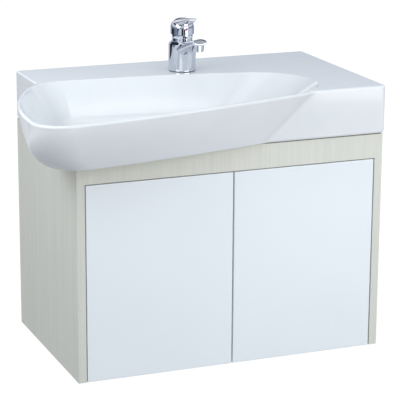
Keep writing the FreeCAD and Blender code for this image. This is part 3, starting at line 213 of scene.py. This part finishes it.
# %% Metals
def metal(name, tints, shine, marks, depth):
    """A metal with two close tints, a range of roughness, and tool marks of this size and depth in mm."""
    material, tree, shader = finish(name, {"Metallic": 1.0})
    place = add(tree, "TexCoord").outputs["Object"]
    grain = add(tree, "Mapping", {"Scale": cells(*marks)}, {"Vector": place}).outputs[0]
    mark = add(tree, "TexNoise", {"Scale": 1.0, "Detail": 2.0}, {"Vector": grain}).outputs["Fac"]
    stops = ((0.0, tints[0]), (1.0, tints[1]))
    tint = add(tree, "ValToRGB", links={"Fac": mark}, stops=stops).outputs["Color"]
    gloss = {"To Min": shine[0], "To Max": shine[1]}
    dull = add(tree, "MapRange", gloss, {"Value": mark}).outputs["Result"]
    cut = add(tree, "Bump", {"Strength": 0.3, "Distance": depth * MM}, {"Height": mark}).outputs["Normal"]
    feed(tree, shader, {"Base Color": tint, "Roughness": dull, "Normal": cut})
    return material


chrome = metal(
    "polished_chrome_plate", ("D9DDE4", "E6E9EE"), shine=(0.03, 0.08), marks=(14, 14, 14), depth=0.004
)
nickel = metal(
    "nickel_plated_steel", ("B9B7B0", "CBC9C3"), shine=(0.22, 0.36), marks=(12, 1.5, 1.5), depth=0.01
)
brass = metal("turned_brass", ("C9A765", "D8BA7C"), shine=(0.2, 0.34), marks=(9, 9, 0.8), depth=0.02)
print("metals:", chrome.name, nickel.name, brass.name)

# %% [markdown]
# ## Plastics, rubbers and beech
# The trap is moulded polypropylene, a waxy white with a fine spark-eroded skin. The gaskets are black
# rubber, the bead under the basin is grey silicone, the door bumpers are clear and soft, and the dowels
# are plain beech. They differ in tint, gloss, grain and how they bend or scatter light, so one function
# takes those.


# %% Moulded and turned small parts
def moulded(name, tints, roughness, grain, depth, sockets):
    """A non-metal with two close tints and a fine skin of noise cells (mm) this deep (mm)."""
    material, tree, shader = finish(name, {"Roughness": roughness, **sockets})
    place = add(tree, "TexCoord").outputs["Object"]
    skin = add(tree, "Mapping", {"Scale": cells(*grain)}, {"Vector": place}).outputs[0]
    speck = add(tree, "TexNoise", {"Scale": 1.0, "Detail": 3.0}, {"Vector": skin}).outputs["Fac"]
    stops = ((0.0, tints[0]), (1.0, tints[1]))
    tint = add(tree, "ValToRGB", links={"Fac": speck}, stops=stops).outputs["Color"]
    relief = {"Strength": 0.4, "Distance": depth * MM}
    rough = add(tree, "Bump", relief, {"Height": speck}).outputs["Normal"]
    feed(tree, shader, {"Base Color": tint, "Normal": rough})
    return material


polypropylene = moulded(
    "white_polypropylene", ("DFE0DC", "EBEBE7"), roughness=0.38, grain=(2, 2, 2), depth=0.02,
    sockets={"Subsurface Weight": 0.1},
)
bumper = moulded(
    "clear_soft_polyurethane", ("D4D6D4", "E4E6E4"), roughness=0.25, grain=(3, 3, 3), depth=0.01,
    sockets={"IOR": 1.5},
)
silicone = moulded(
    "grey_silicone", ("55595B", "63676A"), roughness=0.6, grain=(3, 3, 3), depth=0.05,
    sockets={"IOR": 1.41},
)
rubber = moulded(
    "black_rubber", ("17181A", "232427"), roughness=0.7, grain=(1.5, 1.5, 1.5), depth=0.05,
    sockets={"IOR": 1.52},
)
beech = moulded(
    "turned_beech", ("B98D5D", "D2AB7C"), roughness=0.6, grain=(20, 1.5, 1.5), depth=0.1,
    sockets={"IOR": 1.45},
)
print("small parts:", polypropylene.name, bumper.name, silicone.name, rubber.name, beech.name)

# %% [markdown]
# ## The hot and cold mark
# A small enamel inlay on the lever is red on the hot side and blue on the cold side. The line between
# them runs through the middle of the inlay, so the place of the inlay in the frame gives the split.

# %% Enamel mark
ENAMEL_TONES = ((0.0, "C8242B"), (0.5, "1D4FA3"))
mark_low, mark_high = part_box("hot_cold_mark")
middle = (mark_low.x + mark_high.x) / 2
enamel, tree, shader = finish("red_and_blue_enamel", {"Roughness": 0.15, "Coat Weight": 0.5})
place = add(tree, "TexCoord").outputs["Object"]
across = add(tree, "SeparateXYZ", links={"Vector": place}).outputs["X"]
cold = add(tree, "Math", {"operation": "GREATER_THAN", 1: middle}, {0: across}).outputs[0]
halves = add(tree, "ValToRGB", links={"Fac": cold}, stops=ENAMEL_TONES)
halves.color_ramp.interpolation = "CONSTANT"
feed(tree, shader, {"Base Color": halves.outputs["Color"]})
print("mark split at x =", round(middle, 4))

# %% [markdown]
# ## The aerator's grille
# Water leaves the spout through a moulded insert full of small holes, about 1.5 mm apart. Drilling each
# one would cost far more faces than such a hidden face is worth. A pattern of regular cells gives the
# distance from the middle of each cell, so a threshold on that distance leaves a round spot of painted
# shade in each cell, standing in for the dark inside of a hole, and the same threshold sinks it. The hole's
# radius is a share of the spacing.

# %% Aerator grille
# The first tone is painted shade, the dark that stands for the inside of each hole; the second is the
# grille's own white.
GRILLE_AND_HOLE_SHADE_TONES = ((0.0, "2A2C2E"), (1.0, "E4E5E2"))
HOLE_SPACING = 1.5 * MM
HOLE_RADIUS = 0.34
grille, tree, shader = finish("white_moulded_aerator_grille", {"Roughness": 0.4, "IOR": 1.49})
place = add(tree, "TexCoord").outputs["Object"]
hole = add(tree, "TexVoronoi", {"Scale": 1 / HOLE_SPACING, "Randomness": 0.0}, {"Vector": place})
web = add(
    tree, "Math", {"operation": "GREATER_THAN", 1: HOLE_RADIUS}, {0: hole.outputs["Distance"]}
).outputs[0]
# Painted shade: each hole is coloured dark instead of being cut.
web_and_hole_shade = add(tree, "ValToRGB", links={"Fac": web}, stops=GRILLE_AND_HOLE_SHADE_TONES).outputs["Color"]
sunk = add(tree, "Bump", {"Strength": 0.6, "Distance": 0.3 * MM}, {"Height": web}).outputs["Normal"]
feed(tree, shader, {"Base Color": web_and_hole_shade, "Normal": sunk})
print("aerator finish:", grille.name)

# %% [markdown]
# ## Dress the frame
# Every piece of the frame names the finish that it takes, so a table from those names to the materials
# dresses them all in one loop. The boards that lie across get the turned grain.

# %% Dress every piece
FINISHES = {
    "ash_laminate": ash_upright,
    "gloss_white_lacquer": lacquer,
    "beech": beech,
    "glazed_ceramic": china,
    "chrome": chrome,
    "brass": brass,
    "nickel_steel": nickel,
    "white_plastic": polypropylene,
    "clear_bumper": bumper,
    "silicone": silicone,
    "rubber": rubber,
    "mark_enamel": enamel,
}
LYING_BOARDS = ("bottom_panel", "rear_hanging_rail", "rear_lower_rail")
for name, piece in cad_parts.items():
    for slot in piece.material_slots:
        slot.material = FINISHES[slot.material.name]
        if name in LYING_BOARDS:
            slot.material = ash_lying
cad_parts["aerator_insert"].material_slots[0].material = grille
print("dressed:", len(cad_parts), "pieces")

# %% [markdown]
# ## Screw threads
# The waste tube and the fixing stud are threaded. A thread is a three-cornered ridge that climbs as it
# goes round, which is just what spin does when it also moves up a little with each step. The ridge sits
# half sunk in the plain tube of the frame. The waste's pitch is 2.3 mm and the stud's 1.25 mm. The ridge
# reaches up and down by a share of the pitch, so that a narrow valley is left. It starts a little above
# the lower end, which stays plain, and ends inside the nut, just below the nut's top.

# %% Threads
STEPS_PER_TURN = 32
RIDGE_REACH = 0.45
WASTE_TUBE = 20.9 * MM
WASTE_PLAIN = 2 * MM
STUD_PLAIN = 1 * MM


def in_frame(name, mesh, body, material):
    """Turn a finished bmesh into a piece that moves with a body."""
    bmesh.ops.recalc_face_normals(mesh, faces=mesh.faces)
    data = bpy.data.meshes.new(name)
    mesh.to_mesh(data)
    mesh.free()
    data.materials.append(material)
    piece = bpy.data.objects.new(name, data)
    bpy.context.scene.collection.objects.link(piece)
    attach(piece, body)
    return piece


def thread(name, axis, radius, crest, pitch, low, high, material):
    """A helical ridge on an upright rod, between two heights."""
    turns = (high - low) / pitch
    steps = round(turns * STEPS_PER_TURN)
    reach = RIDGE_REACH * pitch
    corners = ((radius - crest, -reach), (radius + crest, 0), (radius - crest, reach))
    mesh = bmesh.new()
    profile = [mesh.verts.new((axis.x + out, axis.y, low + up)) for out, up in corners]
    edges = [mesh.edges.new((profile[n - 1], profile[n])) for n in range(3)]
    climb = (0, 0, (high - low) / steps)
    bmesh.ops.spin(
        mesh, geom=profile + edges, cent=(axis.x, axis.y, 0), axis=(0, 0, 1), dvec=climb,
        angle=math.tau * turns, steps=steps,
    )
    bmesh.ops.holes_fill(mesh, edges=mesh.edges, sides=3)
    piece = in_frame(name, mesh, "cabinet", material)
    print(name, "turns:", round(turns, 1), "faces:", len(piece.data.polygons))


tube_low, tube_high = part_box("waste_flange")
stud_low, stud_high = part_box("fixing_stud")
thread(
    "waste_thread", (tube_low + tube_high) / 2, WASTE_TUBE, crest=0.5 * MM, pitch=2.3 * MM,
    low=tube_low.z + WASTE_PLAIN, high=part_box("waste_back_nut")[1].z - WASTE_PLAIN,
    material=chrome,
)
thread(
    "stud_thread", (stud_low + stud_high) / 2, (stud_high.x - stud_low.x) / 2, crest=0.3 * MM,
    pitch=1.25 * MM, low=stud_low.z + STUD_PLAIN, high=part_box("fixing_nut")[1].z - STUD_PLAIN,
    material=nickel,
)

# %% [markdown]
# ## Grip ribs of the trap
# A hand turns the union nut and the bottle of the trap, so both are moulded with upright ribs. One rib
# is a short bar with rounded ends, sunk half way into the wall. Copies of it are turned round the axis.


# %% Ribs
def ribs(name, node, count, radius, low, high):
    """Upright ribs round a turned piece of the trap, between two shares of its height."""
    base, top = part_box(node)
    middle = (base + top) / 2
    wall = (top.x - base.x) / 2
    foot = base.z + (top.z - base.z) * low
    head = base.z + (top.z - base.z) * high
    mesh = bmesh.new()
    bmesh.ops.create_uvsphere(mesh, u_segments=8, v_segments=6, radius=radius)
    upper = [v for v in mesh.verts if v.co.z > 0]
    lower = [v for v in mesh.verts if v.co.z <= 0]
    bmesh.ops.translate(mesh, verts=upper, vec=(wall, 0, head - radius))
    bmesh.ops.translate(mesh, verts=lower, vec=(wall, 0, foot + radius))
    one = mesh.verts[:] + mesh.edges[:] + mesh.faces[:]
    for number in range(1, count):
        copy = bmesh.ops.duplicate(mesh, geom=one)["geom"]
        turn = Matrix.Rotation(math.tau * number / count, 3, "Z")
        bmesh.ops.rotate(mesh, verts=[v for v in copy if isinstance(v, bmesh.types.BMVert)], matrix=turn)
    bmesh.ops.translate(mesh, verts=mesh.verts, vec=(middle.x, middle.y, 0))
    in_frame(name, mesh, "cabinet", polypropylene)
    print(name, "ribs:", count, "height:", round(head - foot, 4))


ribs("union_nut_ribs", "trap_inlet_nut", count=24, radius=1.4 * MM, low=0.12, high=0.88)
ribs("bottle_ribs", "trap_bottle", count=28, radius=1.6 * MM, low=0.4, high=0.92)

# %% [markdown]
# ## The camera
# The photograph was taken from the left, a little above, with a long lens. Where the corners of the
# cabinet and the slab fall in the picture gives the angles, the distance and the lens. The lens is in
# millimetres, for a sensor 36 mm wide.

# %% Camera
YAW = math.radians(21.901)
PITCH = math.radians(15.228)
ROLL = math.radians(0.335)
AIM = Vector((7.564, -192.5, -114.73)) * MM
DISTANCE = 3629.94 * MM
LENS = 162.09
SENSOR_WIDTH = 36.0

forward = Vector(
    (math.sin(YAW) * math.cos(PITCH), math.cos(YAW) * math.cos(PITCH), -math.sin(PITCH))
)
level = Vector((math.cos(YAW), -math.sin(YAW), 0))
upward = level.cross(forward)
right = level * math.cos(ROLL) + upward * math.sin(ROLL)
up = upward * math.cos(ROLL) - level * math.sin(ROLL)
camera = bpy.data.objects.new("camera", bpy.data.cameras.new("camera"))
camera.data.lens = LENS
camera.data.sensor_width = SENSOR_WIDTH
camera.matrix_world = Matrix.Translation(AIM - forward * DISTANCE) @ Matrix(
    (right, up, -forward)
).transposed().to_4x4()
bpy.context.scene.collection.objects.link(camera)
bpy.context.scene.camera = camera
bpy.context.scene.view_settings.view_transform = "Standard"
print("camera at", [round(c, 3) for c in camera.location])

# %% [markdown]
# ## White background and even light
# Where the camera or a reflection looks at the world, it is plain white. For all other rays it is an
# even, slightly cool light at a plain level, so the background is white without more light on the object.

# %% World
AMBIENT = 0.78
AMBIENT_TINT = linear("F4F8FE")


def seen_rays(tree):
    """1 where the camera, a reflection or a view through something looks, else 0."""
    path = add(tree, "LightPath").outputs
    either = {"operation": "MAXIMUM"}
    seen = add(tree, "Math", either, {0: path["Is Camera Ray"], 1: path["Is Glossy Ray"]}).outputs[0]
    return add(tree, "Math", either, {0: seen, 1: path["Is Transmission Ray"]}).outputs[0]


world = bpy.data.worlds.new("white_studio")
world.use_nodes = True
bpy.context.scene.world = world
tree = world.node_tree
tree.nodes.clear()
ambient = add(tree, "Background", {"Color": AMBIENT_TINT, "Strength": AMBIENT}).outputs[0]
backdrop = add(tree, "Background", {"Color": linear("FFFFFF"), "Strength": 1.0}).outputs[0]
choice = add(tree, "MixShader", links={0: seen_rays(tree), 1: ambient, 2: backdrop}).outputs[0]
add(tree, "OutputWorld", links={"Surface": choice})
print("even light:", AMBIENT)

# %% [markdown]
# ## Floor
# The unit hangs with its rim 850 mm above the floor. To the light the floor is a mid grey, which throws
# a little light up at the object. Where the camera or a reflection looks at it, a glow makes it almost
# white, and a faint matt share on top of the glow keeps a trace of the shadow.

# %% Floor
RIM_ABOVE_FLOOR = 850 * MM
FLOOR_WIDTH = 40.0
FLOOR_GREY = linear("B0B0B0")
FLOOR_FAINT = linear("606060")
FLOOR_GLOW = 0.95
bowl_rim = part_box("basin")[1].z
floor_level = bowl_rim - RIM_ABOVE_FLOOR
mesh = bmesh.new()
bmesh.ops.create_grid(mesh, x_segments=1, y_segments=1, size=FLOOR_WIDTH / 2)
bmesh.ops.translate(mesh, verts=mesh.verts, vec=(0, 0, floor_level))
floor_mesh = bpy.data.meshes.new("floor")
mesh.to_mesh(floor_mesh)
mesh.free()
floor = bpy.data.objects.new("floor", floor_mesh)
bpy.context.scene.collection.objects.link(floor)
paper = bpy.data.materials.new("white_studio_floor")
paper.use_nodes = True
tree = paper.node_tree
tree.nodes.clear()
matt = add(tree, "BsdfDiffuse", {"Color": FLOOR_GREY}).outputs[0]
faint = add(tree, "BsdfDiffuse", {"Color": FLOOR_FAINT}).outputs[0]
glow = add(tree, "Emission", {"Strength": FLOOR_GLOW}).outputs[0]
bright = add(tree, "AddShader", links={0: faint, 1: glow}).outputs[0]
choice = add(tree, "MixShader", links={0: seen_rays(tree), 1: matt, 2: bright}).outputs[0]
add(tree, "OutputMaterial", links={"Surface": choice})
floor_mesh.materials.append(paper)
print("floor at z =", round(floor_level, 3))

# %% [markdown]
# ## Studio tent
# Chrome is only as good as what it mirrors. In an all-white room the mixer would fade into the
# background, so a round studio tent of cloth stands about the unit, with a floor, a wall and a ceiling.
# Only reflections see it, so it neither lights nor shades the object, and the camera looks through it.
# Its outline has four corners, and one full spin makes the tent.

# %% Tent
TENT_RADIUS = 1.6
TENT_ABOVE_RIM = 2.2
TENT_STEPS = 96
CENTRE_HOLE = 0.02
CLOTH_ABOVE_FLOOR = 1 * MM
cloth_level = floor_level + CLOTH_ABOVE_FLOOR
tent_top = bowl_rim + TENT_ABOVE_RIM
radii = (CENTRE_HOLE, TENT_RADIUS, TENT_RADIUS, CENTRE_HOLE)
heights = (cloth_level, cloth_level, tent_top, tent_top)
mesh = bmesh.new()
profile = [mesh.verts.new((0, -radius, height)) for radius, height in zip(radii, heights)]
lines = [mesh.edges.new((profile[n], profile[n + 1])) for n in range(3)]
bmesh.ops.spin(
    mesh, geom=profile + lines, axis=(0, 0, 1), angle=math.tau, steps=TENT_STEPS, use_merge=True
)
wall_mesh = bpy.data.meshes.new("studio_wall")
mesh.to_mesh(wall_mesh)
mesh.free()
wall = bpy.data.objects.new("studio_wall", wall_mesh)
bpy.context.scene.collection.objects.link(wall)
wall.visible_camera = False
wall.visible_diffuse = False
wall.visible_shadow = False
wall.visible_transmission = False
print("tent faces:", len(wall_mesh.polygons))

# %% [markdown]
# The cloth is pale grey on the floor, goes through blue-grey up the wall to one white band, and is dark
# above that and on the ceiling. Level with the basin it carries black and white panels, as photographers
# set beside metal. The places of the cloth's tones and of the panels' upper and lower ends are shares of
# the tent's height, and those of the panels' sides are shares of a turn.

# %% Tent cloth
PANELS = (
    (0.0, "747D92"), (0.055, "8A94A8"), (0.08, "12151C"), (0.115, "12151C"), (0.13, "E8ECF2"),
    (0.17, "E8ECF2"), (0.185, "12151C"), (0.215, "12151C"), (0.235, "E8ECF2"), (0.29, "E8ECF2"),
    (0.305, "242A36"), (0.335, "242A36"), (0.35, "D0D7E2"), (0.47, "D0D7E2"), (0.52, "A4AEC2"),
    (0.6, "75809A"), (0.7, "8690A4"), (0.76, "C4CAD3"), (0.82, "C4CAD3"), (0.86, "262B38"),
    (0.94, "262B38"), (0.98, "747D92"),
)
CLOTH = (
    (0.0, "B0B4BA"), (0.064, "DCDFE4"), (0.288, "78829A"), (0.384, "B2BAC8"), (0.425, "C8CED6"),
    (0.445, "FFFFFF"), (0.49, "FFFFFF"), (0.53, "727C92"), (0.607, "363D4C"), (1.0, "262B38"),
)
PANEL_HEIGHTS = ((0.102, "000000"), (0.141, "FFFFFF"), (0.23, "FFFFFF"), (0.288, "000000"))
cloth = bpy.data.materials.new("studio_cloth_and_panels")
cloth.use_nodes = True
tree = cloth.node_tree
tree.nodes.clear()
place = add(tree, "TexCoord").outputs["Object"]
height = add(tree, "SeparateXYZ", links={"Vector": place}).outputs["Z"]
rise = add(tree, "MapRange", {"From Min": floor_level, "From Max": tent_top}, {"Value": height}).outputs[0]
upright = add(tree, "ValToRGB", links={"Fac": rise}, stops=CLOTH).outputs["Color"]
panel_height = add(tree, "ValToRGB", links={"Fac": rise}, stops=PANEL_HEIGHTS).outputs["Color"]
turn = add(tree, "TexGradient", {"gradient_type": "RADIAL"}, {"Vector": place}).outputs["Fac"]
panels = add(tree, "ValToRGB", links={"Fac": turn}, stops=PANELS).outputs["Color"]
mirrored = add(
    tree, "Mix", {"data_type": "RGBA"}, {MIX_FACTOR: panel_height, MIX_FIRST: upright, MIX_SECOND: panels}
).outputs[MIX_RESULT]
glow = add(tree, "Emission", {"Strength": 1.0}, {"Color": mirrored}).outputs[0]
add(tree, "OutputMaterial", links={"Surface": glow})
wall_mesh.materials.append(cloth)
print("tent finish:", cloth.name)

# %% [markdown]
# ## Softboxes
# Most of the light is the even white of the room. A softbox near the front gives the doors their slow
# fade downwards and to the left, and a wide panel overhead brightens the bowl. A weak fill and a small
# panel higher up light the left side and the left of the deck. A narrow strip high in front draws the
# soft band of gloss along the inside of the bowl. A level says how bright a white card that faces the
# lamp would look from that lamp alone.


# %% Lamps
def softbox(name, azimuth, elevation, distance, width, height, level):
    """An area lamp that looks at the object from this direction, given in degrees."""
    lamp = bpy.data.lights.new(name, "AREA")
    lamp.shape = "RECTANGLE"
    lamp.size = width
    lamp.size_y = height
    lamp.energy = level * (math.pi * distance) ** 2
    turn = math.radians(azimuth)
    tilt = math.radians(elevation)
    away = Vector(
        (math.sin(turn) * math.cos(tilt), -math.cos(turn) * math.cos(tilt), math.sin(tilt))
    )
    holder = bpy.data.objects.new(name, lamp)
    holder.location = AIM + away * distance
    holder.rotation_euler = away.to_track_quat("Z", "Y").to_euler()
    bpy.context.scene.collection.objects.link(holder)


softbox("front_softbox", azimuth=19, elevation=15, distance=1.3, width=0.9, height=0.7, level=0.31)
softbox("overhead_panel", azimuth=-8, elevation=78, distance=2.2, width=1.5, height=1.0, level=0.085)
softbox("left_fill", azimuth=-60, elevation=30, distance=1.3, width=0.6, height=0.6, level=0.1)
softbox("high_side_panel", azimuth=-80, elevation=42, distance=1.2, width=0.4, height=0.4, level=0.15)
softbox("bowl_gloss", azimuth=7, elevation=53, distance=1.8, width=0.03, height=0.4, level=0.005)
